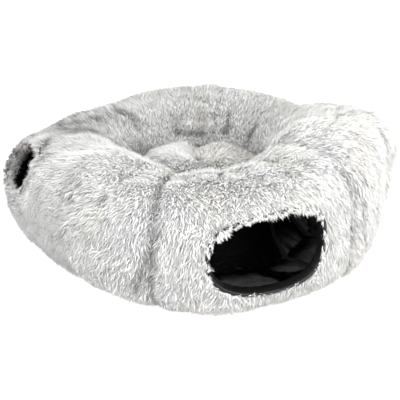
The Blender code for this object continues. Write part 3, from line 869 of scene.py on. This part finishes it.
def innerLayer(layer, values, name, centre, material, slot, ruffle):
    half = halfPanel(name) - 0.0017

    def turnsOf(first, second):
        azimuth = math.radians(centre) + half * (2 * first - 1)
        return azimuth, layerLoop(azimuth, second, values["inset"], values["level"])[1]

    def place(first, second):
        azimuth, angle = turnsOf(first, second)
        calm = 1 - bump(seamDistance(azimuth) * 0.27, 0, 0.016)
        if name in mouths:
            share = openingShare(azimuth, angle, mouths[name], opening["cut"])
            calm = calm * np.where(angle < 1.5, np.clip((share - 1) / 0.15, 0, 1), 1)
            azimuth, moved, inside = toRim(azimuth, angle, name)
        points, angle = layerLoop(azimuth, second, values["inset"], values["level"])
        deeper, angle = layerLoop(azimuth, second, values["inset"] + 0.004, values["level"] + 0.004)
        if name in mouths:
            rim = tubeSurface(azimuth, moved, values["inset"], draped=False)
            points = np.where(inside[:, None], rim, points)
        sunk = ruffle(points) * calm + creaseField(azimuth, angle)[0] - np.minimum(drape(azimuth, angle), 0)
        return points + (deeper - points) / 0.004 * sunk[:, None]

    bm = panelGrid(name, values, turnsOf, place)
    piece = finishPiece(layer + "_" + name, bm, material, values["thickness"])
    if layer == "lining":
        declareCloth(piece, place, "wadding_panel_" + name)
    return ownPiece(piece, "tunnel", slot, layer + "_panel_" + name)


for number, (name, centre) in enumerate(allPanels.items()):
    pad = innerLayer("wadding", wadding, name, centre, batt, "wadding", lambda points: waved(points, lumps))
    innerLayer("lining", lining, name, centre, taffeta, "lining",
               lambda points: ridges * crinkle(points, 41 + number))
stageNote("wadding and lining laid in")


# Satin binding round each entrance, and tape casings on the seam hoops

binding = {"width": 0.0066, "wall": 0.00088, "outside": 0.0046, "inside": 0.0220, "pucker": 0.0005}
casing = {"wall": 0.0007, "half": 0.0028, "near": 0.0228, "deep": 0.0275, "level": 0.0127}
# Polyester satin binding: black, with long floats that give a bright, narrow shine
satin = grainedMaterial("blackSatinBinding", "TexNoise", [("Scale", 240.0), ("Detail", 4.0)],
                        ((0.2, "#050506"), (0.8, "#0D0D0E")), [("Distance", 0.0012), ("Strength", 0.6)],
                        Roughness=0.42, Specular_IOR_Level=0.22, Anisotropic=0.4)[0]
# Woven polypropylene tape: black and matt, with ribs across it 1 mm apart
tape = grainedMaterial("blackWovenTape", "TexWave", [("Scale", 160.0), ("Distortion", 0.6)],
                       ((0.1, "#0B0B0C"), (0.9, "#1E1E20")), [("Distance", 0.0004)],
                       {"bands_direction": "Z"}, Roughness=0.7)[0]


def foldedLine(share, width, top, bottom):
    # a tape folded over an edge: from its outer edge in, round the fold, and out again below
    run = np.array([0, 0.30, 0.36, 0.42, 0.58, 0.64, 0.70, 1.0])
    out = np.interp(share, run, [width, 0.0022, 0.0009, 0.0003, 0.0003, 0.0009, 0.0022, width])
    levels = [top, top, top + 0.0004, top + 0.002, bottom - 0.002, bottom - 0.0004, bottom, bottom]
    return out, np.interp(share, run, levels)


def openingBinding(name, mouth):
    def place(first, second):
        turn = 2 * math.pi * first
        out, depth = foldedLine(second, binding["width"], binding["outside"], binding["inside"])
        pucker = binding["pucker"] * np.sin(47 * turn + 2 * np.sin(5 * turn)) * np.sin(math.pi * second)
        return openingPoint(mouth, turn, out + pucker + binding["pucker"], depth)

    piece = finishPiece("binding_" + name, clothGrid(132, 14, place), satin, binding["wall"])
    return ownPiece(piece, "tunnel", "binding", "opening_binding_" + name)


def hoopCasing(number, azimuth):
    aside = np.array([math.cos(azimuth), math.sin(azimuth), 0])
    near, deep = casing["near"], casing["deep"]

    def place(first, second):
        share = np.array([0, 0.36, 0.44, 0.56, 0.64, 1.0])
        sideways = np.interp(second, share, [-1, -1, -0.75, 0.75, 1, 1]) * casing["half"]
        depth = np.interp(second, share, [near, deep - 0.0006, deep, deep, deep - 0.0006, near])
        points = layerLoop(azimuth + 0 * first, first, depth, casing["level"] + depth - near)[0]
        return points + sideways[:, None] * aside

    piece = finishPiece("casing_%d" % number, clothGrid(110, 12, place), tape, casing["wall"])
    return ownPiece(piece, "tunnel", "tape", "hoop_casing_%d" % number)


for name, mouth in mouths.items():
    openingBinding(name, mouth)
for number, place in enumerate(seams, 1):
    hoopCasing(number, math.radians(place))
stageNote("binding and casings folded")


# Hoops: the CAD's own wire and ferrules, with a better finish

# Hard-drawn spring steel wire: bright grey, with fine die marks, in places rougher than in others
springSteel, tree, shader, marks = grainedMaterial(
    "drawnSpringSteel", "TexNoise", [("Scale", 400.0), ("Detail", 3.0)], ((0.2, "#8E8F92"), (0.8, "#B6B7BA")),
    Metallic=1.0)
rough = addNode(tree, "MapRange", [("Value", marks), ("To Min", 0.22), ("To Max", 0.42)])
wire(shader, ("Roughness", rough))
for name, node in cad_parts.items():
    if "_hoop_" in name:
        for holder in node.material_slots:
            holder.material = springSteel
stageNote("hoops finished")


# Base cloth under ring and cushion, and the side tab

base = {
    "thickness": 0.0016, "level": 0.0010, "waves": (0.0001, 0.05, 51), "share": 0.985,  # of the ring's foot
    "dotPitch": 0.008, "dotWide": 0.0024,
}
tab = {
    "width": 0.011, "length": 0.016, "leaf": 0.0007, "depth": 0.004, "turn": 125, "droop": 0.35, "twist": -50,
    "wrinkle": 0.0004,
}


def feltMaterial():
    # Needle-punched nonwoven: mottled dark grey fibres, with a grid of rubber grip dots 8 mm apart
    material, tree, shader = newMaterial("dottedNonwoven", Roughness=0.95)
    place = addNode(tree, "TexCoord").outputs["Object"]
    fibres = addNode(tree, "TexNoise", [("Vector", place), ("Scale", 260.0), ("Detail", 6.0)])
    ramp = addNode(tree, "ValToRGB", [("Fac", fibres)])
    setStops(ramp.color_ramp, ((0.3, "#3B3B3E"), (0.7, "#5E5E62")))
    cells = addNode(tree, "VectorMath", [(0, place)], operation="SCALE")
    wire(cells, ("Scale", 1 / base["dotPitch"]))
    inCell = addNode(tree, "VectorMath", [(0, cells)], operation="FRACTION")
    flat = addNode(tree, "VectorMath", [(0, inCell), (1, (1, 1, 0))], operation="MULTIPLY")
    away = addNode(tree, "VectorMath", [(0, flat), (1, (0.5, 0.5, 0))], operation="DISTANCE")
    dot = addNode(tree, "Math", [(0, away.outputs["Value"]), (1, base["dotWide"] / 2 / base["dotPitch"])],
                  operation="LESS_THAN")
    colour = addNode(tree, "Mix", [("Factor", dot)], data_type="RGBA")
    wire(colour, ("A", ramp), ("B", hexToLinear("#1B1B1C")))
    raised = addNode(tree, "Bump", [("Height", dot), ("Distance", 0.0008)])
    fuzz = addNode(tree, "Bump", [("Height", fibres), ("Distance", 0.0006),
                                  ("Normal", raised)])
    wire(shader, ("Base Color", colour.outputs["Result"]), ("Normal", fuzz))
    return material


felt = feltMaterial()


def baseCloth():
    def place(first, second):
        points = footPlace(2 * math.pi * first, 1, 0, 0) * (second * base["share"])[:, None]
        points[:, 2] = base["level"] + waved(points, base["waves"])
        return points

    piece = finishPiece("base_cloth", clothGrid(96, 18, place), felt, base["thickness"])
    return ownPiece(piece, "tunnel", "base_felt", "base_fabric")


def ribbonMaterial():
    # Woven polyester ribbon: terracotta, with ribs 0.8 mm apart along its length, and a pale band along one
    # edge that is a painted highlight
    material, tree, shader = newMaterial("terracottaRibbon", Roughness=0.65)
    chart = addNode(tree, "UVMap", uv_map="OFBake").outputs["UV"]
    split = addNode(tree, "SeparateXYZ", [("Vector", chart)])
    ramp = addNode(tree, "ValToRGB", [("Fac", split.outputs["X"])])
    # the last fifth of the width is pale: painted highlight
    setStops(ramp.color_ramp, ((0.0, "#B05C3C"), (0.12, "#A24A2A"), (0.72, "#A9502F"), (0.80, "#E9DCCF"),
                               (1.0, "#F2EAE2")))
    ribs = addNode(tree, "TexWave", [("Vector", chart), ("Scale", 12.0)], bands_direction="Y")
    shade = addNode(tree, "Mix", [("Factor", 0.22)], data_type="RGBA", blend_type="MULTIPLY")
    wire(shade, ("A", ramp), ("B", ribs.outputs["Color"]))
    raised = addNode(tree, "Bump", [("Height", ribs.outputs["Fac"]), ("Distance", 0.0003)])
    wire(shader, ("Base Color", shade.outputs["Result"]), ("Normal", raised))
    return material


def sideTab(ribbon):
    def rimPoint(turn, out):
        turn = np.radians([tab["turn"] + turn])
        return openingPoint(mouths["left"], turn, np.array([out]), tab["depth"])[0]

    edge, low = rimPoint(0, -0.0009), rimPoint(0, -tab["length"])
    ends = [rimPoint(side, 0.0) for side in (-5, 5)]
    down = unit(unit(low - edge) * (1 - tab["droop"]) + np.array([0, 0, -1]) * tab["droop"])
    along = unit(ends[1] - ends[0])
    across = unit(np.cross(along, down))

    def place(first, second):
        run = np.array([0, 0.42, 0.47, 0.53, 0.58, 1.0])
        drop = np.interp(second, run, [0, 0.0150, 0.0158, 0.0158, 0.0150, 0])
        stand = np.interp(second, run, [-0.0007, -0.0009, -0.0004, 0.0004, 0.0009, 0.0007])
        stand = stand + tab["wrinkle"] * np.sin(9 * first + 5) * drop / 0.016
        wide = (first - 0.5) * (tab["width"] - 0.0004)
        twist = math.radians(tab["twist"]) * np.clip(drop / 0.008, 0, 1)  # the ribbon turns as it hangs
        sideways = wide * np.cos(twist) - stand * np.sin(twist)
        forward = wide * np.sin(twist) + stand * np.cos(twist)
        return edge + down * drop[:, None] + across * forward[:, None] + along * sideways[:, None]

    piece = finishPiece("tab_ribbon", clothGrid(12, 44, place), ribbon, tab["leaf"])
    mesh = piece.data
    points = np.array([vert.co for vert in mesh.vertices]) - edge
    chart = np.stack([points @ along / tab["width"] + 0.5, points @ down / tab["length"]], axis=-1)
    corners = np.array([loop.vertex_index for loop in mesh.loops])
    addChart(mesh, np.clip(chart[corners], 0.01, 0.99))
    return ownPiece(piece, "tunnel", "ribbon", "side_tab")


baseCloth()
sideTab(ribbonMaterial())
stageNote("base and tab sewn")


# Nest cushion

cushion = {
    "radius": 0.144, "crown": 0.188, "waist": 0.098, "squareness": 2.9, "press": 0.010, "foot": 0.0041,
    "foldDepth": 0.018, "foldWidth": 0.030, "foldAzimuth": math.radians(-18), "lumps": (0.0025, 0.12, 61),
    "fill": 0.8, "locks": 5000, "hairs": 32500, "rootInset": 0.0105,
    "hairFrom": 0.012, "thickFrom": 0.12, "sideShare": 0.35,  # heights, and how thick the pile is lower down
    # brightness of the hair, lifted above the ring's as painted light against the shade of the well; painted
    # shade in the fold's groove and round the edge next to the well's wall
    "plain": 0.90, "waves": (0.07, 0.05, 71), "grooveShade": 0.20, "grooveWidth": 0.016, "low": 0.26,
}
# Loose hollow-fibre filling: white tufts with soft shadows between
hollowFibre = grainedMaterial("hollowFibre", "TexNoise", [("Scale", 45.0), ("Detail", 8.0)],
                              ((0.3, "#D8D8D5"), (0.7, "#F6F6F3")), [("Distance", 0.006)],
                              Roughness=1.0, Sheen_Weight=0.3)[0]


def offFold(points):
    # how far the points lie to one side or the other of the fold across the top
    turn = cushion["foldAzimuth"]
    return points[..., 0] * math.cos(turn) + points[..., 1] * math.sin(turn)


def cushionSurface(azimuth, rise, inset):
    # rise runs from 0 at the foot to 1 in the middle of the top
    power = cushion["squareness"]
    low = math.asin((1 - cushion["press"] / cushion["waist"]) ** (power / 2))
    across, up = superPoint(math.pi / 2 - (math.pi / 2 + low) * (1 - rise), power)
    across = across * (cushion["radius"] - inset)
    points = ringPoint(azimuth, across, 0 * across)
    fold = cushion["foldDepth"] * bump(offFold(points), 0, cushion["foldWidth"]) * np.maximum(up, 0)
    tall = np.where(up > 0, cushion["crown"] - cushion["waist"] - inset, cushion["waist"] - inset)
    lump = waved(points, cushion["lumps"]) * np.maximum(up, 0)
    points[..., 2] = np.maximum(cushion["waist"] + up * tall - fold + lump, cushion["foot"])
    return points


def cushionPile():
    locks, hairs = int(cushion["locks"] * lockShare), int(cushion["hairs"] * lockShare)
    wanted = locks + hairs
    rng = np.random.default_rng(7)
    first, second = spread(wanted * 5, 5)
    azimuth, rise = 2 * math.pi * first, 0.004 + 0.992 * second
    points, normals, down, area = surfaceFrame(
        lambda a, b: cushionSurface(a, b, cushion["rootInset"]), azimuth, rise, step=0.002)
    high = points[:, 2]
    keep = (rng.uniform(size=len(area)) < area / np.quantile(area, 0.995)) & (high > cushion["hairFrom"])
    keep &= (high > cushion["thickFrom"]) | (rng.uniform(size=len(area)) < cushion["sideShare"])
    chosen = np.nonzero(keep)[0][:wanted]
    points, normals, down = points[chosen], normals[chosen], down[chosen]
    aside = offFold(points)
    # painted shade in the fold's groove and round the edge next to the well's wall; painted light on both
    # halves, more on the half past the fold that the ring shades
    low = np.clip((np.hypot(points[:, 0], points[:, 1]) - 0.112) / 0.03, 0, 1)
    bright = cushion["plain"] + waved(points, cushion["waves"])
    bright -= cushion["grooveShade"] * bump(aside, 0, cushion["grooveWidth"]) + cushion["low"] * low
    bright += np.where(aside < 0, 0.06, 0.10)
    roots = {"place": points, "normal": normals, "comb": down, "bright": bright,
             "warmth": 0.47 + np.where(aside < 0, 0, 0.18), "long": 0.95 + 0 * low, "lift": 4 + 0 * low}
    piece = growPile("pile_cushion", roots, locks, furPlush, 7)
    return ownPiece(piece, "cushion", "plush", "cushion_cover")


def closedCushion(name, inset, material, slot, *nodes):
    bm = clothGrid(72, 40, lambda a, b: cushionSurface(2 * math.pi * a, b, inset))
    bmesh.ops.remove_doubles(bm, verts=bm.verts, dist=0.0003)
    rim = [edge for edge in bm.edges if edge.is_boundary]
    bmesh.ops.holes_fill(bm, edges=rim, sides=0)
    bmesh.ops.triangulate(bm, faces=[face for face in bm.faces if len(face.verts) > 4])
    piece = finishPiece(name, bm, material)
    return ownPiece(piece, "cushion", slot, *nodes)


def cushionUnderside():
    def place(first, second):
        points = cushionSurface(2 * math.pi * first, 0 * first, 0) * second[:, None]
        points[:, 2] = 0.0026
        return points

    piece = finishPiece("cushion_underside", clothGrid(72, 8, place), felt, 0.0012)
    return ownPiece(piece, "cushion", "base_felt", "cushion_base")


cushionPile()
closedCushion("cushion_backing", cushion["rootInset"], knit, "plush", "cushion_cover")
closedCushion("cushion_stuffing", 0.0128, hollowFibre, "filling", "cushion_fill")
cushionUnderside()
stageNote("cushion stuffed")


# Studio

camera = {
    "azimuth": -18, "elevation": 21.5, "distance": 1.65, "focalPixels": 780, "imageSize": 400,
    "centre": (199.5, 188.3), "aim": (0, 0, 0.1),
}
studio = {"world": 0.95, "floorGlow": 0.75}
# each lamp's place, width and power
lamps = {
    "keyLamp": ((1.15, -2.3, 0.9), 1.6, 80), "fillLamp": ((-1.7, -1.6, 1.3), 1.8, 62),
    "topLamp": ((0, 0.6, 2.4), 1.6, 24),
}


def addCamera():
    data = bpy.data.cameras.new("camera")
    data.sensor_width = 36
    data.lens = camera["focalPixels"] / camera["imageSize"] * data.sensor_width
    data.shift_x = (camera["imageSize"] / 2 - camera["centre"][0]) / camera["imageSize"]
    data.shift_y = -(camera["imageSize"] / 2 - camera["centre"][1]) / camera["imageSize"]
    item = addObject("camera", data)
    turn, rise = math.radians(camera["azimuth"]), math.radians(camera["elevation"])
    back = Vector((math.sin(turn) * math.cos(rise), -math.cos(turn) * math.cos(rise), math.sin(rise)))
    item.location = Vector(camera["aim"]) + back * camera["distance"]
    item.rotation_euler = (-back).to_track_quat("-Z", "Y").to_euler()
    bpy.context.scene.camera = item


def addLamp(name, place, size, power):
    data = bpy.data.lights.new(name, "AREA")
    data.shape = "DISK"
    data.size = size
    data.energy = power
    lamp = addObject(name, data)
    lamp.location = place
    lamp.rotation_euler = (Vector(camera["aim"]) - Vector(place)).to_track_quat("-Z", "Y").to_euler()


def addStudio():
    world = bpy.data.worlds.new("studio")
    world.use_nodes = True
    tree = world.node_tree
    path = addNode(tree, "LightPath")
    strength = addNode(tree, "MapRange", [("Value", path.outputs["Is Camera Ray"]),
                                          ("To Min", studio["world"]), ("To Max", 1.0)])
    wire(tree.nodes["Background"], ("Color", (1, 1, 1, 1)), ("Strength", strength))
    bpy.context.scene.world = world
    for name, lamp in lamps.items():
        addLamp(name, *lamp)
    # White paper sweep: the camera sees it white, and it keeps the object's shadow
    material, tree, shader = newMaterial("paperSweep", Roughness=0.9, Specular_IOR_Level=0.1,
                                         Base_Color=hexToLinear("#F4F4F4"))
    path = addNode(tree, "LightPath")
    glow = addNode(tree, "Emission", [("Strength", studio["floorGlow"])])
    add = addNode(tree, "AddShader", [(0, shader), (1, glow)])
    mix = addNode(tree, "MixShader", [("Fac", path.outputs["Is Camera Ray"]), (1, shader),
                                      (2, add)])
    wire(tree.nodes["Material Output"], ("Surface", mix))
    bm = bmesh.new()
    bmesh.ops.create_grid(bm, x_segments=1, y_segments=1, size=20)
    finishPiece("floor", bm, material)


addCamera()
addStudio()
bpy.context.scene.view_settings.view_transform = "Standard"

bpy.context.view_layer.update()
stageNote("done")
